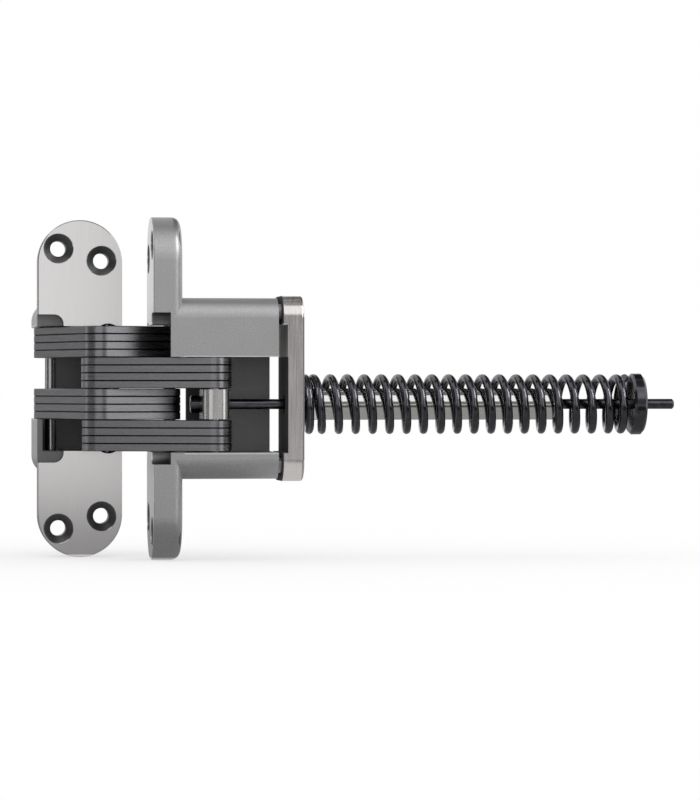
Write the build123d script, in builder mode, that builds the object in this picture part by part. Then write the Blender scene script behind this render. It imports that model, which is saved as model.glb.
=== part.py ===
from build123d import *
from math import cos, radians, sin
import os

# Self-closing concealed hinge, opened to a right angle.
#
# Two cast leaves are mortised into a frame and a door. Two crossing sets of laminated links join
# them: each set turns on a fixed pin in one leaf, crosses the other set on the centre pin, and
# slides in guide slots of the other leaf. A spring behind the door leaf pulls one slider back and
# so closes the door.
#
# The origin is the centre of the frame leaf's face. The face looks along -Y, the leaf runs back
# along +Y, the hinge pins stand along Z, and the door leaf and its spring run along +X.

# Face plate of a leaf
plate_height = 139.7
plate_width = 34.93
plate_thickness = 11.9
plate_back_round = 3.5
plate_edge_break = 0.4

# Mounting screw holes
screw_hole_diameter = 6.6
countersink_diameter = 12.5
countersink_angle = 90
screw_across = 17.8
outer_screw_inset = 11.85
knuckle_screw_inset = 16.85

# Body behind the plate
body_height = 73.5
body_corner = 8.0
door_body_depth = 50.8
frame_back_wall = 3.0
outer_wall = 2.4
knuckle_wall = 2.2
knuckle_mouth_depth = 16.0
outer_opening_width = 9.0

# Relief at the outer edge of the face, and the seats of the pins
relief_width = 10.7
relief_reach = 4.8
relief_depth = 7.0
relief_corner = 4.0
slot_reach = 2.8
seat_reach = 1.4
seat_mouth_width = 6.8

# Linkage, seen from above: places are measured from the leaf's outer edge and from its face
pivot_from_edge = 29.2
pivot_depth = 8.9
short_arm = 28.8
long_arm = 48.7
elbow_angle = 103.5
rest_opening = 90
rest_arm_angle = 98.6
link_share = 2 / 3
closed_opening = 0
widest_opening = 110

# Link laminations
sheets_per_group = 4
sheet_thickness = 3.18
group_gap = 0.08
link_end_radius = 4.5
link_elbow_radius = 8.0
link_tip_radius = 7.0
sheet_edge_break = 0.3
stack_room = 0.35
link_room = 0.6

# Pins
centre_pin_diameter = 6.35
pivot_pin_diameter = 5.0
slider_pin_diameter = 4.76
pin_fit = 0.05
pin_edge_break = 0.4
pin_end_room = 0.3
slider_play = 0.3

# Closer: pull block, adjusting screw, end plate, guide tube, spring and cap
block_wall = 1.2
block_room = 0.35
block_far_wall = 2.4
rod_from_edge = 16.0
rod_diameter = 4.2
screw_head_diameter = 7.0
screw_head_height = 4.0
hex_socket = 3.2
hex_socket_depth = 2.4
end_seat_height = 1.7
end_seat_inset = 2.4
end_plate_thickness = 8.9
end_plate_overhang = 1.0
end_plate_round = 1.2
end_channel_depth = 2.2
end_screw_diameter = 4.2
end_screw_head = 8.0
end_screw_across = 19.0
end_screw_grip = 12.0
tube_diameter = 13.0
tube_wall = 2.5
tube_length = 105.4
tube_edge_round = 0.8
spring_diameter = 24.8
spring_wire = 3.5
spring_length = 137.6
spring_turns = 18
spring_end_gap = 0.05
spring_seat_room = 0.1
cap_diameter = 25.4
cap_thickness = 5.4
cap_edge_break = 1.0
rod_tip = 13.4
rod_tip_break = 0.6

# Worked out: the stack of laminations
group_height = sheets_per_group * sheet_thickness
group_pitch = group_height + group_gap
stack_half = 2 * group_pitch - group_gap / 2
opening_half = stack_half + stack_room
half_width = plate_width / 2
past = 1.0

# Worked out: the linkage in the frame leaf, with X across the leaf and Y into it
pivot = (pivot_from_edge - half_width, pivot_depth)


def arm_angle(opening):
    """Angle of the short arm to the leaf's face when the hinge is opened this far."""
    return rest_arm_angle - link_share * (opening - rest_opening)


def centre_at(opening):
    """Place of the centre pin in the frame leaf."""
    angle = radians(arm_angle(opening))
    return (pivot[0] + short_arm * cos(angle), pivot[1] - short_arm * sin(angle))


def slider_at(opening):
    """Place of the slider pin in its own leaf, which is the same in both leaves."""
    centre_x, centre_y = centre_at(opening)
    angle = radians(180 - opening - elbow_angle - arm_angle(opening))
    return (centre_x + long_arm * cos(angle), centre_y - long_arm * sin(angle))


centre = centre_at(rest_opening)
slider = slider_at(rest_opening)
travel = [slider_at(opening) for opening in range(closed_opening, widest_opening + 1)]
slider_low = min(place[0] for place in travel)
slider_high = max(place[0] for place in travel)
slider_shallow = min(place[1] for place in travel)
slider_deep = max(place[1] for place in travel)

# The door leaf is the frame leaf turned half a turn about the line that halves the opening
fold = centre[0] - centre[1]
across = Plane(origin=(fold, -fold, 0), x_dir=(0, 1, 0), z_dir=(0, 0, -1)).location


def opposite(place):
    """The same place on the other side of the fold."""
    return (place[1] + fold, place[0] - fold)


# Worked out: the slide of the closer, which keeps an even pace with the opening
closer_pace = (slider_at(closed_opening)[1] - slider[1]) / (rest_opening - closed_opening)
slip = [
    slider_at(opening)[1] - slider[1] + closer_pace * (opening - rest_opening)
    for opening in range(closed_opening, widest_opening + 1)
]
slider_clear = slider_pin_diameter / 2 + slider_play
eye_low = slider[1] + min(slip) - slider_clear
eye_high = slider[1] + max(slip) + slider_clear
block_low = eye_low - block_wall
block_high = eye_high + block_wall
rod_place = (rod_from_edge - half_width, group_pitch / 2)
end_plate_start = door_body_depth + end_seat_height
end_plate_end = end_plate_start + end_plate_thickness
cap_start = end_plate_end + spring_length
rod_end = cap_start + cap_thickness + rod_tip
arm_height = body_height / 2 - opening_half
end_screw_height = opening_half + arm_height / 2
frame_pocket_depth = slider_deep + link_tip_radius + link_room

os.makedirs("parts", exist_ok=True)


def span(low, high):
    """Middle and length of a stretch."""
    return (low + high) / 2, high - low


def cut_upright(x_range, y_range, z_range):
    """Take an upright block out of the part that is being built."""
    (x, width), (y, depth), (z, height) = span(*x_range), span(*y_range), span(*z_range)
    with Locations((x, y, z)):
        Box(width, depth, height, mode=Mode.SUBTRACT)


def leaf_casting(body_depth, pocket_depth):
    """One leaf: a face plate with round ends, and a hollow body that takes the links."""
    outer, knuckle = -half_width, half_width
    with BuildPart() as leaf:
        with BuildSketch(Plane.XZ):
            SlotOverall(plate_height, plate_width, rotation=90)
        extrude(amount=-plate_thickness)
        fillet(leaf.edges().group_by(Axis.Y)[-1], plate_back_round)
        chamfer(leaf.edges().group_by(Axis.Y)[0], plate_edge_break)
        with BuildSketch(Plane.XZ.offset(-plate_edge_break)):
            RectangleRounded(plate_width, body_height, body_corner)
        extrude(amount=-(body_depth - plate_edge_break))

        # Pocket for the links: open through the knuckle edge and, beside three of the groups, through
        # the outer edge from front to back
        pocket = (outer + outer_wall, knuckle - knuckle_wall)
        whole = (-opening_half, opening_half)
        cut_upright(pocket, (-past, pocket_depth), whole)
        cut_upright((pocket[1] - past, knuckle + past), (-past, knuckle_mouth_depth), whole)
        outer_opening = (outer - past, outer + outer_opening_width)
        cut_upright(outer_opening, (-past, body_depth + past), (-group_pitch, opening_half))
        with BuildSketch(Plane.XY.offset(-opening_half)):
            with Locations(pivot):
                Circle(link_end_radius + link_room)
        extrude(amount=2 * opening_half, mode=Mode.SUBTRACT)

        # Relief of the outer corner of the opening
        with BuildSketch(Plane.XZ.offset(past)):
            with Locations((outer, 0)):
                RectangleRounded(2 * relief_width, 2 * (opening_half + relief_reach), relief_corner)
        extrude(amount=-(relief_depth + past), mode=Mode.SUBTRACT)

        # Guide slots of the slider pin and seats of the pivot pin, above and below the opening
        slot = (slider_low - slider_clear, slider_high + slider_clear)
        slot_half = opening_half + slot_reach
        slot_depth = (slider_shallow - slider_clear, slider_deep + slider_clear)
        cut_upright(slot, slot_depth, (-slot_half, slot_half))
        seat_radius = pivot_pin_diameter / 2 + pin_fit
        seat_half = opening_half + seat_reach
        mouth_reach = seat_reach - pin_end_room
        mouth_radius = (seat_mouth_width**2 / 4 + mouth_reach**2) / (2 * mouth_reach)
        mouth_height = opening_half + mouth_reach - mouth_radius
        with BuildSketch(Plane.XZ.offset(past)):
            with Locations((pivot[0], mouth_height), (pivot[0], -mouth_height)):
                Circle(mouth_radius)
        extrude(amount=-(pivot_depth - seat_radius / 2 + past), mode=Mode.SUBTRACT)
        with BuildSketch(Plane.XY.offset(-seat_half)):
            with Locations(pivot):
                Circle(seat_radius)
        extrude(amount=2 * seat_half, mode=Mode.SUBTRACT)

        # Countersunk mounting holes, the outer pair further apart than the knuckle pair
        for side, inset in ((-1, outer_screw_inset), (1, knuckle_screw_inset)):
            with Locations(Plane.XZ.shift_origin((side * screw_across / 2, 0, 0))):
                with GridLocations(0, plate_height - 2 * inset, 1, 2):
                    CounterSinkHole(
                        screw_hole_diameter / 2,
                        countersink_diameter / 2,
                        plate_thickness + past,
                        countersink_angle,
                    )
    return leaf.part


def link(bottom):
    """One lamination of the frame leaf's links: a pivot end, an elbow on the centre pin, and a tip."""
    level = Plane.XY.offset(bottom)
    with BuildPart() as sheet:
        with BuildSketch(level):
            with Locations(pivot):
                Circle(link_end_radius)
            with Locations(centre):
                Circle(link_elbow_radius)
            make_hull()
        extrude(amount=sheet_thickness)
        with BuildSketch(level):
            with Locations(centre):
                Circle(link_elbow_radius)
            with Locations(opposite(slider)):
                Circle(link_tip_radius)
            make_hull()
        extrude(amount=sheet_thickness)
        broad = sheet.faces().filter_by(Axis.Z)
        chamfer([edge for face in broad for edge in face.outer_wire().edges()], sheet_edge_break)
        with BuildSketch(level):
            with Locations(pivot):
                Circle(pivot_pin_diameter / 2 + pin_fit)
            with Locations(centre):
                Circle(centre_pin_diameter / 2 + pin_fit)
            with Locations(opposite(slider)):
                Circle(slider_pin_diameter / 2 + pin_fit)
        extrude(amount=sheet_thickness, mode=Mode.SUBTRACT)
    return sheet.part


def pin(place, diameter, half_length):
    """An upright pin with broken edges."""
    with BuildPart(Plane.XY.offset(-half_length)) as upright:
        with Locations(place):
            Cylinder(diameter / 2, 2 * half_length, align=(Align.CENTER, Align.CENTER, Align.MIN))
        chamfer(upright.edges().filter_by(GeomType.CIRCLE), pin_edge_break)
    return upright.part


def keep(part, name):
    """Label a finished piece and write it as its own file."""
    part.label = name
    export_step(part, f"parts/{name}.step")


# Leaves
with BuildPart() as frame_leaf:
    add(leaf_casting(frame_pocket_depth + frame_back_wall, frame_pocket_depth))
keep(frame_leaf.part, "frame_leaf")

end_screw_places = [
    (side * end_screw_across / 2, level * end_screw_height) for side in (-1, 1) for level in (-1, 1)
]
with BuildPart() as door_leaf:
    add(leaf_casting(door_body_depth, door_body_depth + past))
    with BuildSketch(Plane.XZ.offset(-door_body_depth)):
        with Locations((0, end_screw_height), (0, -end_screw_height)):
            Rectangle(plate_width - 2 * body_corner, arm_height - 2 * end_seat_inset)
            with GridLocations(end_screw_across, 0, 2, 1):
                Circle(arm_height / 2 - end_seat_inset)
    extrude(amount=-end_seat_height)
    with BuildSketch(Plane.XZ.offset(-end_plate_start)):
        with Locations(*end_screw_places):
            Circle(end_screw_diameter / 2 + pin_fit)
    extrude(amount=end_screw_grip + pin_end_room, mode=Mode.SUBTRACT)
keep(door_leaf.part.moved(across), "door_leaf")

# Links: from the top, the groups belong by turns to the door leaf and to the frame leaf
for number in range(2 * sheets_per_group):
    group, sheet_number = divmod(number, sheets_per_group)
    group_bottom = group_gap / 2 if group == 0 else group_gap / 2 - 2 * group_pitch
    lamination = link(group_bottom + sheet_number * sheet_thickness)
    keep(lamination, f"frame_link_{number + 1}")
    keep(lamination.moved(across), f"door_link_{number + 1}")

# Pins
pivot_pin_half = opening_half + seat_reach - pin_end_room
slider_pin_half = opening_half + slot_reach - pin_end_room
pivot_pin = pin(pivot, pivot_pin_diameter, pivot_pin_half)
slider_pin = pin(slider, slider_pin_diameter, slider_pin_half)
keep(pin(centre, centre_pin_diameter, stack_half), "centre_pin")
keep(pivot_pin.moved(Location()), "frame_pivot_pin")
keep(pivot_pin.moved(across), "door_pivot_pin")
keep(slider_pin.moved(Location()), "frame_slider_pin")
keep(slider_pin.moved(across), "door_slider_pin")

# Pull block: its eye is long enough for the slider pin's sideways drift and change of pace
eye_near, eye_far = slider_low - slider_clear, slider_high + slider_clear
block_near, block_far = eye_near - block_wall, rod_place[0] + rod_diameter / 2 + block_far_wall
block_height = group_pitch - group_gap - 2 * block_room
with BuildPart() as pull_block:
    block_x, block_width = span(block_near, block_far)
    block_y, block_length = span(block_low, block_high)
    with Locations((block_x, block_y, rod_place[1])):
        Box(block_width, block_length, block_height)
    near_edges = pull_block.edges().filter_by(Axis.Z).group_by(Axis.X)[0]
    fillet(near_edges, block_length / 3)
    eye_x, eye_width = span(eye_near, eye_far)
    eye_y, eye_length = span(eye_low, eye_high)
    with BuildSketch(Plane.XY.offset(rod_place[1] - block_height / 2)):
        with Locations((eye_x, eye_y)):
            RectangleRounded(eye_width, eye_length, slider_pin_diameter / 2)
    extrude(amount=block_height, mode=Mode.SUBTRACT)
    with BuildSketch(Plane.XZ.offset(-block_low)):
        with Locations(rod_place):
            Circle(rod_diameter / 2 + pin_fit)
    extrude(amount=-block_length, mode=Mode.SUBTRACT)
keep(pull_block.part.moved(across), "pull_block")

# Adjusting screw: a socket head against the block, and a long rod through the spring
with BuildPart() as adjusting_screw:
    with BuildSketch(Plane.XZ.offset(screw_head_height - block_low)):
        with Locations(rod_place):
            Circle(screw_head_diameter / 2)
    extrude(amount=-screw_head_height)
    chamfer(adjusting_screw.edges().group_by(Axis.Y)[0], pin_edge_break)
    with BuildSketch(Plane.XZ.offset(screw_head_height - block_low)):
        with Locations(rod_place):
            RegularPolygon(hex_socket / 2, 6, major_radius=False)
    extrude(amount=-hex_socket_depth, mode=Mode.SUBTRACT)
    with BuildSketch(Plane.XZ.offset(-block_low)):
        with Locations(rod_place):
            Circle(rod_diameter / 2)
    extrude(amount=-(rod_end - block_low))
    chamfer(adjusting_screw.edges().group_by(Axis.Y)[-1], rod_tip_break)
keep(adjusting_screw.part.moved(across), "adjusting_screw")

# End plate: seated on the body's two arms, with a shallow channel between them
with BuildPart() as end_plate:
    with BuildSketch(Plane.XZ.offset(-end_plate_start)):
        RectangleRounded(
            plate_width, body_height + 2 * end_plate_overhang, body_corner + end_plate_overhang
        )
    extrude(amount=-end_plate_thickness)
    chamfer(end_plate.edges().group_by(Axis.Y)[0], plate_edge_break)
    fillet(end_plate.edges().group_by(Axis.Y)[-1], end_plate_round)
    cut_upright(
        (-half_width - past, half_width + past),
        (end_plate_start - past, end_plate_start + end_channel_depth),
        (-opening_half, opening_half),
    )
    with BuildSketch(Plane.XZ.offset(-end_plate_start)):
        with Locations(rod_place):
            Circle(tube_diameter / 2 + pin_fit)
    extrude(amount=-end_plate_thickness, mode=Mode.SUBTRACT)
    with Locations(Plane.XZ.offset(-end_plate_end).rotated((180, 0, 0))):
        with Locations(*[(x, -z) for x, z in end_screw_places]):
            CounterSinkHole(
                end_screw_diameter / 2 + pin_fit,
                end_screw_head / 2 + pin_fit,
                end_plate_thickness + past,
                countersink_angle,
            )
keep(end_plate.part.moved(across), "end_plate")

# Countersunk screws of the end plate
end_screw_cone = (end_screw_head - end_screw_diameter) / 2
with BuildPart() as end_plate_screws:
    with BuildSketch(Plane.XZ.offset(end_screw_grip - end_plate_start)):
        with Locations(*end_screw_places):
            Circle(end_screw_diameter / 2)
    extrude(amount=-(end_screw_grip + end_plate_thickness))
    for x, z in end_screw_places:
        top = Plane.XZ.offset(-end_plate_end)
        with BuildSketch(top):
            with Locations((x, z)):
                Circle(end_screw_head / 2)
        with BuildSketch(top.offset(end_screw_cone)):
            with Locations((x, z)):
                Circle(end_screw_diameter / 2)
        loft()
    with BuildSketch(Plane.XZ.offset(-end_plate_end)):
        with Locations(*end_screw_places):
            RegularPolygon(hex_socket / 2, 6, major_radius=False)
    extrude(amount=hex_socket_depth, mode=Mode.SUBTRACT)
keep(end_plate_screws.part.moved(across), "end_plate_screws")

# Guide tube: held in the end plate, with the rod running through it
tube_start = end_plate_start + end_channel_depth
with BuildPart() as guide_tube:
    with BuildSketch(Plane.XZ.offset(-tube_start)):
        with Locations(rod_place):
            Circle(tube_diameter / 2)
            Circle(tube_diameter / 2 - tube_wall, mode=Mode.SUBTRACT)
    extrude(amount=-(end_plate_end - tube_start + tube_length))
    fillet(guide_tube.edges().group_by(Axis.Y)[-1].sort_by(SortBy.RADIUS)[-1], tube_edge_round)
keep(guide_tube.part.moved(across), "guide_tube")

# Closing spring: even turns, with one closed turn against the end plate and one against the cap,
# turned so that the wire begins and ends at the top
coil_radius = (spring_diameter - spring_wire) / 2
coil_start = end_plate_end + spring_wire / 2 + spring_seat_room
end_turn = spring_wire + spring_end_gap
coil_length = spring_length - spring_wire - 2 * spring_seat_room - 2 * end_turn
with BuildPart() as closing_spring:
    with BuildLine() as coil:
        for pitch, length, begin in (
            (end_turn, end_turn, coil_start),
            (coil_length / spring_turns, coil_length, coil_start + end_turn),
            (end_turn, end_turn, coil_start + end_turn + coil_length),
        ):
            coil_place = (rod_place[0], begin, rod_place[1])
            Helix(pitch, length, coil_radius, center=coil_place, direction=(0, 1, 0))
    coil_begin = coil.wires()[0]
    with BuildSketch(Plane(origin=coil_begin @ 0, z_dir=coil_begin % 0)):
        Circle(spring_wire / 2)
    sweep(is_frenet=True)
rod_axis = Axis((rod_place[0], 0, rod_place[1]), (0, 1, 0))
keep(closing_spring.part.rotate(rod_axis, 180).moved(across), "closing_spring")

# Spring cap: screwed on the rod
with BuildPart() as spring_cap:
    with BuildSketch(Plane.XZ.offset(-cap_start)):
        with Locations(rod_place):
            Circle(cap_diameter / 2)
    extrude(amount=-cap_thickness)
    chamfer(spring_cap.edges().group_by(Axis.Y)[0], cap_edge_break)
    chamfer(spring_cap.edges().group_by(Axis.Y)[-1], cap_edge_break)
    with BuildSketch(Plane.XZ.offset(-cap_start)):
        with Locations(rod_place):
            Circle(rod_diameter / 2 + pin_fit)
    extrude(amount=-cap_thickness, mode=Mode.SUBTRACT)
keep(spring_cap.part.moved(across), "spring_cap")

print(f"centre pin {centre[0]:.4f} {centre[1]:.4f}, pivot {pivot[0]:.4f} {pivot[1]:.4f}, fold {fold:.4f}")
print(f"slider {slider[0]:.4f} {slider[1]:.4f}, across {slider_low:.2f} to {slider_high:.2f}")
print(f"slider depth to {slider_deep:.2f}, closer pace {closer_pace:.5f} mm a degree")
print(f"cap start {cap_start:.3f}, end plate end {end_plate_end:.3f}, rod end {rod_end:.3f}")
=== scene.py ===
# %% [markdown]
# # A self-closing concealed hinge
# Two cast leaves hide in the edges of a door and its frame. Between them, sixteen steel sheets
# cross like scissors, and a long black spring behind the door leaf pulls the door shut. The solids
# come from the CAD model as a fixed frame, so this lesson is about light, camera and metal: seven
# finishes on one object, each told apart mostly by how it reflects.

# %% Load the frame
from math import cos, pi, radians, sin

import bpy
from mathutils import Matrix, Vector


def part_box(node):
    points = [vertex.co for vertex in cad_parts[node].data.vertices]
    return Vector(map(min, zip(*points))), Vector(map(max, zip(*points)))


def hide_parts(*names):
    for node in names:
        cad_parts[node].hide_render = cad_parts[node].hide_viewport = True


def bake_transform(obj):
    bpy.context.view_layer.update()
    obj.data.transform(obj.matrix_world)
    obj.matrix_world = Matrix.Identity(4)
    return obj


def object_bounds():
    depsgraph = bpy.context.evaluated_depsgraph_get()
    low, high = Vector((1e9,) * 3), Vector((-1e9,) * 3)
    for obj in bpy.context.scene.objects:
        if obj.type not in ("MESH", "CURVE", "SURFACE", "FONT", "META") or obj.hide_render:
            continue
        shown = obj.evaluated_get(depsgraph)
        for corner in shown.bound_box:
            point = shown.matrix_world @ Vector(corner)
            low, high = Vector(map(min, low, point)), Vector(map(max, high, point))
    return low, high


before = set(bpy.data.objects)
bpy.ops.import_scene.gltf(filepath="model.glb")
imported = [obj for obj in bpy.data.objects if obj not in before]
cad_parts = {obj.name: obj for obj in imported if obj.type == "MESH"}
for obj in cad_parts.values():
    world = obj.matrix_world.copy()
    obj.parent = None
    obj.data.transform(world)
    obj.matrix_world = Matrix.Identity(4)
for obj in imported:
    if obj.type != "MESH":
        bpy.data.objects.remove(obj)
cad_low, cad_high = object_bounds()
mm = 0.001

# %% [markdown]
# ## Three small tools
# Every finish below is a short chain of nodes, so a few helpers carry the whole lesson. The first
# turns the sRGB colours that we read off a swatch into the linear light that a renderer adds up. The
# second adds a node, sets its options and fills its inputs, either with a number or with a link. The
# third starts a metal: we could set up each material by hand, but all of them begin the same way.

# %% Colour, node and metal helpers
def linear(hex_colour):
    """An sRGB hex colour as linear light, with full opacity."""
    parts = [int(hex_colour[i:i + 2], 16) / 255 for i in (1, 3, 5)]
    return [p / 12.92 if p <= 0.04045 else ((p + 0.055) / 1.055) ** 2.4 for p in parts] + [1.0]


def add_node(tree, kind, inputs=None, **settings):
    """Add a node, set its options, and give each named input a value or a link."""
    made = tree.nodes.new(kind)
    for option, value in settings.items():
        setattr(made, option, value)
    for socket, value in (inputs or {}).items():
        if isinstance(value, bpy.types.NodeSocket):
            tree.links.new(value, made.inputs[socket])
        else:
            made.inputs[socket].default_value = value
    return made


def start_metal(name):
    """A new material that is all metal, with its node tree, its shader and its Object coordinates."""
    material = bpy.data.materials.new(name)
    material.use_nodes = True
    tree = material.node_tree
    shader = tree.nodes["Principled BSDF"]
    shader.inputs["Metallic"].default_value = 1.0
    place = add_node(tree, "ShaderNodeTexCoord").outputs["Object"]
    return material, tree, shader, place


print("steel grey in linear light:", [round(part, 3) for part in linear("#9A9A98")])

# %% [markdown]
# ## Streaks and grain
# A metal's surface tells how it was worked. A casting has a fine even grain from its mould. A
# ground or brushed piece has long streaks along the stroke. Both are the same noise: squeezed
# by a Mapping node it becomes streaks. The grain sizes are in millimetres, so that each pattern
# keeps its real scale.

# %% Streak noise and its bump
def streaks(tree, place, grain_mm, detail=3.0):
    """Noise whose grains are this long along X, Y and Z."""
    scale = [1 / (size * mm) for size in grain_mm]
    squeezed = add_node(tree, "ShaderNodeMapping", {"Vector": place, "Scale": scale})
    noise = add_node(
        tree, "ShaderNodeTexNoise",
        {"Vector": squeezed.outputs["Vector"], "Scale": 1.0, "Detail": detail, "Roughness": 0.55},
    )
    return noise.outputs["Fac"]


def spread(tree, value, low, high):
    """Stretch the middle of a noise over a range."""
    stretched = add_node(
        tree, "ShaderNodeMapRange",
        {"Value": value, "From Min": 0.3, "From Max": 0.7, "To Min": low, "To Max": high},
    )
    return stretched.outputs["Result"]


def two_tone(tree, amount, first, second):
    """A colour between two others; each is a hex value or a link."""
    ends = [linear(end) if isinstance(end, str) else end for end in (first, second)]
    colour_a, colour_b, colour_out = 6, 7, 2
    mixed = add_node(
        tree, "ShaderNodeMix", {0: amount, colour_a: ends[0], colour_b: ends[1]}, data_type="RGBA",
    )
    return mixed.outputs[colour_out]


def roughen(tree, shader, height, depth_mm, strength):
    """Let a pattern stand up from the surface by a bump."""
    bump = add_node(
        tree, "ShaderNodeBump", {"Height": height, "Strength": strength, "Distance": depth_mm * mm},
    )
    tree.links.new(bump.outputs["Normal"], shader.inputs["Normal"])


print("a grain of 0.5 mm is a noise scale of", round(1 / (0.5 * mm)))

# %% [markdown]
# ## The leaves: die-cast zinc with a ground face
# Each leaf is one casting. Its body keeps the grey, finely grained skin of the mould, and only the
# face that shows in the door's edge is ground flat and polished to a satin. Shade is painted into
# the skin's colour: the pocket, the relief and the countersinks are darker, the mouth of the pocket
# behind the links darkest, and two edges beside the opening in the outer wall get a painted
# highlight. All of this lies on one mesh. We could split the material by face, but the CAD mesh
# stays as it is, so the material itself asks where a point lies in the leaf: how far across, how far
# behind the face, and how far from mid-height.

# %% Where a point lies in a leaf
edge_softness = 0.05
sink_radius = 6.3
sink_depth = 11.2
past_all = 200


def stretch(tree, value, low_mm, high_mm):
    """1 where a length lies between two limits, with a soft edge at each."""
    soft = edge_softness * mm
    after = add_node(
        tree, "ShaderNodeMapRange",
        {"Value": value, "From Min": low_mm * mm - soft, "From Max": low_mm * mm + soft},
    ).outputs["Result"]
    before = add_node(
        tree, "ShaderNodeMapRange",
        {"Value": value, "From Min": high_mm * mm + soft, "From Max": high_mm * mm - soft},
    ).outputs["Result"]
    return add_node(tree, "ShaderNodeMath", {0: after, 1: before}, operation="MULTIPLY").outputs[0]


def zone(tree, measures, *limits_mm):
    """1 where each measure lies between its two limits."""
    inside = 1.0
    for value, limits in zip(measures, limits_mm):
        part = stretch(tree, value, *limits)
        inside = add_node(tree, "ShaderNodeMath", {0: inside, 1: part}, operation="MULTIPLY").outputs[0]
    return inside


def countersink(tree, where, across_mm, height_mm):
    """1 in a pair of countersunk holes, above and below mid-height."""
    across, behind, height = where
    point = add_node(tree, "ShaderNodeCombineXYZ", {0: across, 1: height}).outputs[0]
    hole = (across_mm * mm, height_mm * mm, 0)
    away = add_node(tree, "ShaderNodeVectorMath", {0: point, 1: hole}, operation="DISTANCE").outputs["Value"]
    return zone(tree, (away, behind, height), (-1, sink_radius), (0.1, sink_depth), (0, past_all))


leaf_middle_y = sum(corner[1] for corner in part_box("door_leaf")) / 2
print(f"door leaf's middle line at y {leaf_middle_y / mm:.2f} mm")

# %% [markdown]
# ### Zones of the casting
# Each zone is a box of the leaf in millimetres: limits across, behind the face, and from mid-height.
# The opening in the outer wall isn't centred, so the painted highlights on its edges need a height
# with a sign. The door leaf is the same casting turned over, and there that height is counted
# downwards.

# %% Zones of the casting
pocket_across = (-15.4, 15.4)
pocket_height = 26.3
body_end = 80
face_edge = 0.5
# the pocket, painted darker as shade
pocket_zone = pocket_across, (face_edge, body_end), (0, pocket_height)
# painted shade at the mouth of the pocket, darkest, where the links shade it
pocket_mouth_zone = pocket_across, (face_edge, 26), (0, pocket_height)
relief_zone = (-17.3, -6.6), (face_edge, 7.3), (0, 30.9)
outer_wall = (-18, -17.2), (12.5, body_end)
# painted highlights along the two edges of the opening in the outer wall
edge_highlight_zones = (*outer_wall, (26.15, 26.6)), (*outer_wall, (-13.2, -12.75))
outer_holes = -8.9, 58.0
knuckle_holes = 8.9, 53.0
print(f"pocket {pocket_across[1] - pocket_across[0]:.1f} mm wide and {2 * pocket_height:.1f} mm high")

# %% Cast and ground zinc
ground_depth = 0.2
painted_mark_strength = 0.8
face_roughness = 0.14
skin_roughness = 0.44


def cast_zinc(name, across_axis, across_middle, face_axis, face_place, upward):
    """Die-cast zinc: a grained mould skin with painted shade in the hollows and painted highlights on two
    edges, and a satin ground face.
    """
    material, tree, shader, place = start_metal(name)
    axes = add_node(tree, "ShaderNodeSeparateXYZ", {"Vector": place}).outputs
    across, behind = (
        add_node(tree, "ShaderNodeMath", {0: axes[axis], 1: start}, operation="SUBTRACT").outputs[0]
        for axis, start in ((across_axis, across_middle), (face_axis, face_place))
    )
    height = add_node(tree, "ShaderNodeMath", {0: axes["Z"]}, operation="ABSOLUTE").outputs[0]
    rise = add_node(tree, "ShaderNodeMath", {0: axes["Z"], 1: upward}, operation="MULTIPLY").outputs[0]
    where = across, behind, height
    cast = stretch(tree, behind, ground_depth, past_all)
    # Painted shade: the pocket, the relief and the countersinks darker, the pocket's mouth behind the links
    # darkest. Painted highlights: the two edges of the opening in the outer wall
    painted_marks = (
        (zone(tree, where, *pocket_zone), "#68686A"),
        (zone(tree, where, *pocket_mouth_zone), "#38383A"),
        (zone(tree, where, *relief_zone), "#6E6E70"),
        (countersink(tree, where, *outer_holes), "#606062"),
        (countersink(tree, where, *knuckle_holes), "#606062"),
        *((zone(tree, (across, behind, rise), *limits), "#E6E6E6") for limits in edge_highlight_zones),
    )

    # The mould's sand-fine skin is drawn at 0.5 mm, coarser than the real one, so that it shows
    grain = streaks(tree, place, (0.5, 0.5, 0.5))
    clouds = streaks(tree, place, (16, 16, 16))
    skin = two_tone(tree, spread(tree, grain, 0, 1), "#A0A0A0", "#C0C0C0")
    skin = two_tone(tree, spread(tree, clouds, 0, 0.5), skin, "#ACACAC")
    for inside, tone in painted_marks:
        partly = add_node(tree, "ShaderNodeMath", {0: inside, 1: painted_mark_strength}, operation="MULTIPLY")
        skin = two_tone(tree, partly.outputs[0], skin, tone)

    # Grinding leaves fine strokes up the face, which blur the mirror to a satin
    strokes = streaks(tree, place, (0.3, 0.3, 40))
    ground = two_tone(tree, spread(tree, strokes, 0, 1), "#D6D4D4", "#DDDBDA")
    tree.links.new(two_tone(tree, cast, ground, skin), shader.inputs["Base Color"])
    dull = add_node(
        tree, "ShaderNodeMapRange", {"Value": cast, "To Min": face_roughness, "To Max": skin_roughness},
    )
    tree.links.new(dull.outputs["Result"], shader.inputs["Roughness"])
    relief = add_node(tree, "ShaderNodeMath", {0: grain, 1: cast}, operation="MULTIPLY")
    roughen(tree, shader, relief.outputs[0], 0.1, 0.25)
    return material


face_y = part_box("frame_leaf")[0][1]
face_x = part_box("door_leaf")[0][0]
frame_zinc = cast_zinc("die_cast_zinc_frame_leaf", "X", 0.0, "Y", face_y, 1.0)
door_zinc = cast_zinc("die_cast_zinc_door_leaf", "Y", leaf_middle_y, "X", face_x, -1.0)
print(f"frame leaf's face at y {face_y / mm:.2f} mm, door leaf's at x {face_x / mm:.2f} mm")

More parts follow.
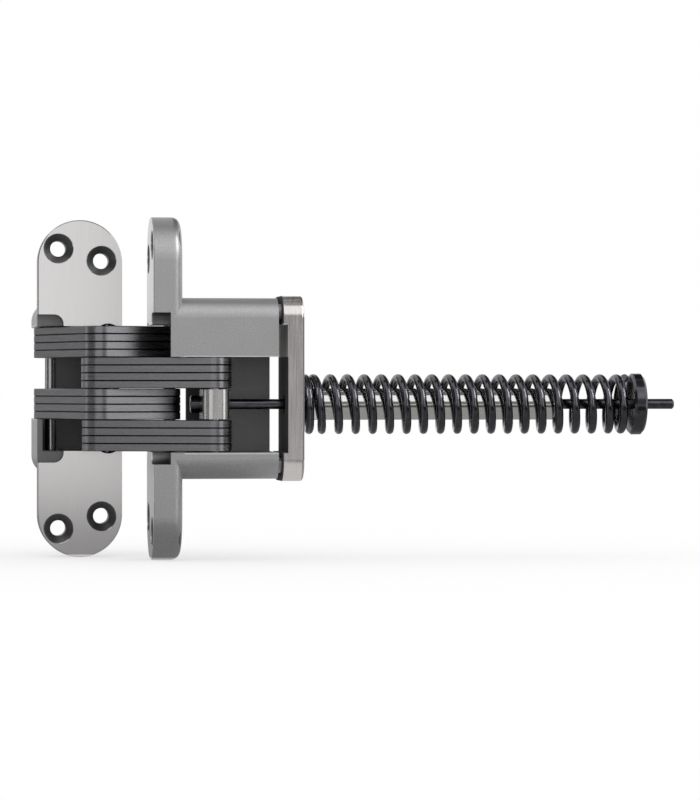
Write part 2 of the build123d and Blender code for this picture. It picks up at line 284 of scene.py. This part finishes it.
# %% [markdown]
# ## The links: rolled and blanked steel sheet
# Each arm is four sheets side by side, and what we see is their cut edges. A blanking die leaves
# fine lines along the edge and a duller band here and there. Streaks that are very thin in Z and
# long in X and Y lie along every sheet, whichever way its arm points. The shade in the gap where two
# sheets meet is painted as a narrow dark line at each step of the stack: a ping-pong of Z gives the
# distance to the nearest seam. The broad faces lie at that same height, so the line is left out
# wherever the surface looks straight up or down.

# %% Blanked steel
sheet_pitch = 3.2
seam_reach = 0.26
broad_face_limit = 0.9


def blanked_steel():
    """Dark steel sheet with fine lengthwise lines on its cut edges and painted shade in the seams."""
    material, tree, shader, place = start_metal("blanked_steel_sheet")
    height = add_node(tree, "ShaderNodeSeparateXYZ", {"Vector": place}).outputs["Z"]
    half_pitch = sheet_pitch / 2 * mm
    from_seam = add_node(tree, "ShaderNodeMath", {0: height, 1: half_pitch}, operation="PINGPONG").outputs[0]
    near_seam = stretch(tree, from_seam, -1, seam_reach)
    looks = add_node(tree, "ShaderNodeTexCoord").outputs["Normal"]
    upright = add_node(tree, "ShaderNodeSeparateXYZ", {"Vector": looks}).outputs["Z"]
    steep = add_node(tree, "ShaderNodeMath", {0: upright}, operation="ABSOLUTE").outputs[0]
    on_edge = add_node(tree, "ShaderNodeMath", {0: steep, 1: broad_face_limit}, operation="LESS_THAN")
    seam = add_node(
        tree, "ShaderNodeMath", {0: near_seam, 1: on_edge.outputs[0]}, operation="MULTIPLY",
    ).outputs[0]
    lines = streaks(tree, place, (16, 16, 0.3))
    speckle = streaks(tree, place, (0.9, 0.9, 0.5), detail=5.0)
    tone = two_tone(tree, spread(tree, lines, 0, 1), "#7E7D80", "#929194")
    tone = two_tone(tree, spread(tree, speckle, 0, 0.5), tone, "#757376")
    # painted shade: a dark line in the gap between two sheets
    tone = two_tone(tree, seam, tone, "#302F32")
    tree.links.new(tone, shader.inputs["Base Color"])
    tree.links.new(spread(tree, lines, 0.24, 0.32), shader.inputs["Roughness"])
    roughen(tree, shader, lines, 0.03, 0.25)
    return material


link_steel = blanked_steel()
print(f"a seam every {sheet_pitch} mm, {2 * seam_reach:.2f} mm wide")

# %% [markdown]
# ## The small bright parts: ground pins, a milled block, a brushed plate and a chromed tube
# These are all bright steel, and differ by the direction and strength of their strokes. The pins
# are ground round, so their strokes run about Z. The pull block was milled and the end plate drawn
# over an abrasive belt, both with upright strokes. The guide tube is hard chrome, almost a mirror.
# In a few zones the colour turns to a matt grey instead. On the end plate the channel is painted
# dark as shade below the edge of the leaf's outer wall and lighter as light above it, a painted
# shadow line runs along the front rim, and the back rim is a mid grey; the tube's end is dark grey.
# A darker metal would still shine there at a low angle, so in those zones the surface stops being
# metal and turns matt.

# %% Bright steels
def stroked_steel(name, dark, light, stroke_mm, roughness, depth_mm, matt_zones=()):
    """Bright steel with strokes of a given size along X, Y and Z, and a matt grey that is no metal in some
    zones.
    """
    material, tree, shader, place = start_metal(name)
    strokes = streaks(tree, place, stroke_mm)
    colour = two_tone(tree, spread(tree, strokes, 0, 1), dark, light)
    dull = spread(tree, strokes, roughness * 0.8, roughness * 1.2)
    bare = 1.0
    axes = add_node(tree, "ShaderNodeSeparateXYZ", {"Vector": place}).outputs
    for tone, *limits in matt_zones:
        # each zone's mask: there the colour turns to the zone's matt grey, which on the end plate paints
        # shade in some zones and light in one
        scale = zone(tree, axes, *limits)
        colour = two_tone(tree, scale, colour, tone)
        dull = add_node(tree, "ShaderNodeMath", {0: dull, 1: scale}, operation="MAXIMUM").outputs[0]
        bare = add_node(tree, "ShaderNodeMath", {0: bare, 1: scale}, operation="SUBTRACT").outputs[0]
    if matt_zones:
        tree.links.new(bare, shader.inputs["Metallic"])
    tree.links.new(colour, shader.inputs["Base Color"])
    tree.links.new(dull, shader.inputs["Roughness"])
    roughen(tree, shader, strokes, depth_mm, 0.3)
    return material


pin_steel = stroked_steel("ground_pin_steel", "#A6A5A5", "#B4B3B2", (8, 8, 0.6), 0.2, 0.005)
block_steel = stroked_steel("milled_block_steel", "#C2C1BF", "#D0CFCD", (0.5, 0.5, 18), 0.24, 0.04)

# %% Plate and tube, with matt grey zones
# Painted shade darkens the channel below the edge of the leaf's outer wall, painted light makes its side
# lighter above that edge, and a painted shadow line runs along the front rim
dark_matt_grey = "#3A393B"
painted_light_grey = "#A3A19F"
back_rim_grey = "#757372"
wall_edge = 12.9
rim_height = 29
whole_depth = (-80, 0)
whole_height = (-60, 60)
plate_start, plate_end = (corner[0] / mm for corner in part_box("end_plate"))
tube_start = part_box("guide_tube")[0][0] / mm
channel = (plate_start - 1, plate_start + 2.25)
front_rim = (plate_start - 1, plate_start + 0.45)
back_rim = (plate_end - 1.0, plate_end - 0.06)
plate_matt_zones = (
    # painted shade in the channel below the wall's edge
    (dark_matt_grey, channel, whole_depth, (-pocket_height, wall_edge)),
    # painted light on the channel's side above the wall's edge
    (painted_light_grey, channel, whole_depth, (wall_edge, pocket_height)),
    # a painted shadow line along the front rim, above and below the pocket
    (dark_matt_grey, front_rim, whole_depth, (pocket_height, whole_height[1])),
    (dark_matt_grey, front_rim, whole_depth, (whole_height[0], -pocket_height)),
    (back_rim_grey, back_rim, whole_depth, (-rim_height, rim_height)),
)
# the tube's end gets the same dark matt grey
tube_matt_zones = ((dark_matt_grey, (tube_start - 1, tube_start + 0.3), whole_depth, whole_height),)
plate_steel = stroked_steel(
    "belt_brushed_steel", "#E0DCDA", "#ECE8E6", (0.4, 0.4, 20), 0.2, 0.03, plate_matt_zones,
)
tube_chrome = stroked_steel("hard_chrome", "#E6E5E3", "#F0EFED", (4, 0.8, 0.8), 0.1, 0.01, tube_matt_zones)
print(f"end plate from x {plate_start:.2f} to {plate_end:.2f} mm, tube from {tube_start:.2f} mm")

# %% [markdown]
# ## The closer's black parts: oxide over steel
# The spring, the screw and the cap are steel in a hot black-oxide bath, then oiled. The oxide takes
# the colour and leaves a soft sheen: bright only where a light is mirrored, dark elsewhere. Paint
# would hide the steel's own gloss, so this stays a metal, only a dark one.

# %% Black oxide
def black_oxide():
    """Oiled black oxide: a dark satin with slightly uneven gloss."""
    material, tree, shader, place = start_metal("black_oxide_steel")
    patches = streaks(tree, place, (2.5, 2.5, 2.5), detail=4.0)
    tone = two_tone(tree, spread(tree, patches, 0, 1), "#505055", "#616166")
    tree.links.new(tone, shader.inputs["Base Color"])
    tree.links.new(spread(tree, patches, 0.12, 0.2), shader.inputs["Roughness"])
    roughen(tree, shader, patches, 0.02, 0.2)
    return material


oxide = black_oxide()

# %% Dress the CAD nodes
def dress(material, *names):
    """Give these CAD nodes a finish by their material slots."""
    for name in names:
        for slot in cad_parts[name].material_slots:
            slot.material = material


sides = "frame", "door"
sheet_numbers = range(1, 9)
dress(frame_zinc, "frame_leaf")
dress(door_zinc, "door_leaf")
dress(link_steel, *[f"{side}_link_{number}" for side in sides for number in sheet_numbers])
dress(pin_steel, "centre_pin", *[f"{side}_{kind}_pin" for side in sides for kind in ("pivot", "slider")])
dress(block_steel, "pull_block")
dress(plate_steel, "end_plate")
dress(tube_chrome, "guide_tube")
dress(oxide, "adjusting_screw", "end_plate_screws", "spring_cap", "closing_spring")
print("materials:", len(bpy.data.materials))

# %% [markdown]
# ## The closing spring
# The spring is one wire, wound with even turns and a closed turn at each end. It has to lengthen as
# the door closes, and the CAD helix is rigid. This piece replaces it: a curve is the natural start,
# a path whose points follow the winding, with a round bevel for the wire, which is then made a
# mesh.

# %% Measure the winding
wire = 3.5 * mm
even_turns = 18
points_a_turn = 36
closed_pitch = wire * 1.015
spring_low, spring_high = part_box("closing_spring")
axis_y = (spring_low[1] + spring_high[1]) / 2
axis_z = (spring_low[2] + spring_high[2]) / 2
coil_radius = (spring_high[2] - spring_low[2] - wire) / 2
coil_start = spring_low[0] + wire / 2
even_length = spring_high[0] - spring_low[0] - wire - 2 * closed_pitch


def along_coil(turn):
    """How far along X the wire has come after this many turns."""
    even = min(max(turn - 1, 0), even_turns)
    closed = turn - even
    return coil_start + closed * closed_pitch + even * even_length / even_turns


print(f"pitch of the even turns: {even_length / even_turns / mm:.2f} mm")

# %% Wind the spring
bpy.ops.object.select_all(action="DESELECT")
bpy.ops.curve.primitive_nurbs_path_add()
spring = bpy.context.object
spring.name = "wound_spring"
path = spring.data
path.splines.clear()
winding = path.splines.new("POLY")
winding.points.add((even_turns + 2) * points_a_turn)
for number, point in enumerate(winding.points):
    turn = number / points_a_turn
    angle = 2 * pi * turn
    point.co = (along_coil(turn), axis_y - coil_radius * sin(angle), axis_z + coil_radius * cos(angle), 1)
path.dimensions = "3D"
path.bevel_depth = wire / 2
path.bevel_resolution = 5
path.use_fill_caps = True
spring.location = (0, 0, 0)
bpy.ops.object.convert(target="MESH")
bpy.ops.object.shade_smooth_by_angle(angle=radians(40))
spring.data.materials.clear()
spring.data.materials.append(oxide)
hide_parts("closing_spring")
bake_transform(spring)
print("spring faces:", len(spring.data.polygons))

# %% [markdown]
# ## Floor and world
# The photograph has a pure white ground. We could light a grey room until it burns out to white,
# but that light would wash over the object too. A white world of strength 1 renders as white
# without any lamp, and it lights every colour about as it is written. The floor is paper that
# reflects a part of that white and gives off the rest, so that it still takes a soft shadow.

# %% Floor and world
floor_size = 60.0
paper_grey = 0.45
paper_glow = 1 - paper_grey
white = (1.0, 1.0, 1.0, 1.0)
bpy.ops.object.select_all(action="DESELECT")
bpy.ops.mesh.primitive_plane_add(size=floor_size, location=(0, 0, cad_low[2]))
floor = bpy.context.object
floor.name = "studio_floor"
paper = bpy.data.materials.new("white_paper")
paper.use_nodes = True
paper_shader = paper.node_tree.nodes["Principled BSDF"]
paper_shader.inputs["Base Color"].default_value = (paper_grey, paper_grey, paper_grey, 1.0)
paper_shader.inputs["Emission Color"].default_value = white
paper_shader.inputs["Emission Strength"].default_value = paper_glow
paper_shader.inputs["Roughness"].default_value = 1.0
paper_shader.inputs["Specular IOR Level"].default_value = 0.0
floor.data.materials.append(paper)

world = bpy.data.worlds.new("white_studio")
bpy.context.scene.world = world
world.use_nodes = True
world.node_tree.nodes["Background"].inputs["Color"].default_value = white
print(f"floor at z {cad_low[2] / mm:.1f} mm")

# %% [markdown]
# ## Cards for the reflections
# In a white room, metal looks like paper, because it has nothing dark to mirror. Photographers hold
# cards round the object, out of the picture, and so do we. Each card shows only in reflections: the
# camera doesn't see it, and it neither lights a matt surface nor casts a shadow. Standing cards tone
# the upright faces, dark ones overhead tone the tops, and grey ones on the floor tone what faces
# down. One light card brightens the faces turned to the right, and a narrow bright strip draws the
# line of light on each turn of the spring.

# %% Card helper
def card(name, tone, place, turn, width, height):
    """A card of one grey that shows only in reflections."""
    bpy.ops.object.select_all(action="DESELECT")
    bpy.ops.mesh.primitive_plane_add(size=1.0, location=place, rotation=turn)
    board = bpy.context.object
    board.name = name
    board.scale = (width, height, 1)
    board.visible_camera = False
    board.visible_diffuse = False
    board.visible_shadow = False
    grey = bpy.data.materials.new(name)
    grey.use_nodes = True
    grey.node_tree.nodes.clear()
    glow = add_node(grey.node_tree, "ShaderNodeEmission", {"Color": (tone, tone, tone, 1.0)})
    out = add_node(grey.node_tree, "ShaderNodeOutputMaterial")
    grey.node_tree.links.new(glow.outputs[0], out.inputs["Surface"])
    board.data.materials.append(grey)


# %% Standing cards
# Each row: name, tone, azimuth in degrees (0 is in front, 90 on the right), and in metres the width,
# the lower edge and the upper edge
card_distance = 1.3
on_floor = -0.07
standing_cards = (
    ("card_left", 0.1, -64, 1.3, -1.0, 1.4),
    ("card_right", 0.18, 16.5, 0.48, on_floor, 0.42),
    ("card_light", 1.8, 38.5, 0.53, on_floor, 0.9),
    ("card_far_right", 0.06, 66, 0.8, on_floor, 0.42),
    ("strip_right", 18.0, 58, 0.15, 0.5, 1.8),
    ("card_back", 0.4, -131, 1.2, on_floor, 0.9),
    ("card_behind_low", 0.45, -176, 0.3, on_floor, 0.0),
    ("card_behind_high", 0.74, -176, 0.3, 0.0, 0.9),
)
for name, tone, azimuth, width, low, high in standing_cards:
    turn = radians(azimuth)
    place = (card_distance * sin(turn), -card_distance * cos(turn), (low + high) / 2)
    card(name, tone, place, (pi / 2, 0, turn), width, high - low)
print("standing cards:", len(standing_cards))

# %% Overhead cards
# Each row: name, tone, middle in X and Y in metres, turn in degrees, width and depth in metres
overhead = 1.3
overhead_cards = (
    ("card_over_leaves", 0.06, (-0.31, 0.14), 0, 0.96, 0.32),
    ("card_over_spring", 0.16, (0.77, -0.15), 0, 1.2, 0.9),
    ("card_behind_spring", 0.06, (0.87, 1.4), -7, 1.2, 2.2),
)
for name, tone, middle, degrees, width, depth in overhead_cards:
    card(name, tone, (*middle, overhead), (0, 0, radians(degrees)), width, depth)
print("overhead cards:", len(overhead_cards))

# %% Floor cards
# Each row: name, tone, limits in X and limits in Y, in metres. Each card lies a millimetre above the floor
plate_from, plate_to = 0.075, 0.105
floor_cards = (
    ("card_table", 0.68, (-0.9, 0.9), (-2.5, -0.5)),
    ("card_under_leaves", 0.3, (-0.5, plate_from), (-0.5, 0.3)),
    ("card_under_plate", 0.6, (plate_from, plate_to), (-0.5, 0.3)),
    ("card_under_tube", 0.3, (plate_to, 0.7), (-0.17, 0.3)),
    ("card_before_tube", 0.08, (plate_to, 0.7), (-0.5, -0.17)),
    ("card_under_back", 0.45, (-0.5, plate_from), (0.3, 1.3)),
)
for name, tone, (left, right), (near, far) in floor_cards:
    middle = ((left + right) / 2, (near + far) / 2, cad_low[2] + mm)
    card(name, tone, middle, (0, 0, 0), right - left, far - near)
print("floor cards:", len(floor_cards))

# %% [markdown]
# ## The camera
# The picture was taken with a long lens about a metre and a half away, level with the middle of the
# hinge and a little to its left, so that the right leaf shows its side. The focal length and the
# place were fitted to the plates' edges and the spring's turns, and a small shift sets the centre.

# %% Camera
lens_mm = 157.2
camera_place = (-86.7 * mm, -1450 * mm, 0.0)
camera_turn = 7.76
camera_data = bpy.data.cameras.new("camera")
camera_data.lens = lens_mm
camera_data.shift_x = 0.00625
camera_data.shift_y = -0.0144
camera = bpy.data.objects.new("camera", camera_data)
bpy.context.scene.collection.objects.link(camera)
camera.location = camera_place
camera.rotation_euler = (pi / 2, 0, -radians(camera_turn))
bpy.context.scene.camera = camera
bpy.context.scene.view_settings.view_transform = "Standard"
print(f"camera {-camera_place[1]:.2f} m in front, turned {camera_turn} degrees to the right")
